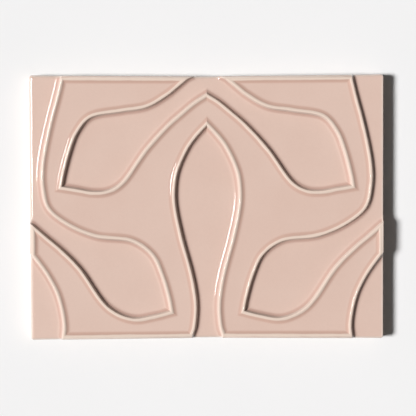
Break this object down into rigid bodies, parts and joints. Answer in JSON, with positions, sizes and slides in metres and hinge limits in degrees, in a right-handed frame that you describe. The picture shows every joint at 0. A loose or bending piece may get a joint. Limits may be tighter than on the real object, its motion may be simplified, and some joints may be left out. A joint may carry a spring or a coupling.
{
  "type": "ceramic accent tile",
  "caption": "Oblong glazed ceramic wall tile, one solid piece, with raised-line relief of stylised leaves and buds on its face and a plain flat back.",
  "frame": {"origin": "middle of the flat back, on the level floor that the tile lies on", "axes": "+X along the long side, +Y across, from the open stem to the joined tips of the upper leaves, +Z out of the glazed face"},
  "size_m": [0.2, 0.15, 0.0123],
  "materials": {
    "glaze": "glossy translucent blush pink glaze, paler where it runs thin over the ridges, on a buff clay body with a bare flat back"
  },
  "bodies": {
    "root": {"relief_tile": "glaze"}
  },
  "joints": []
}
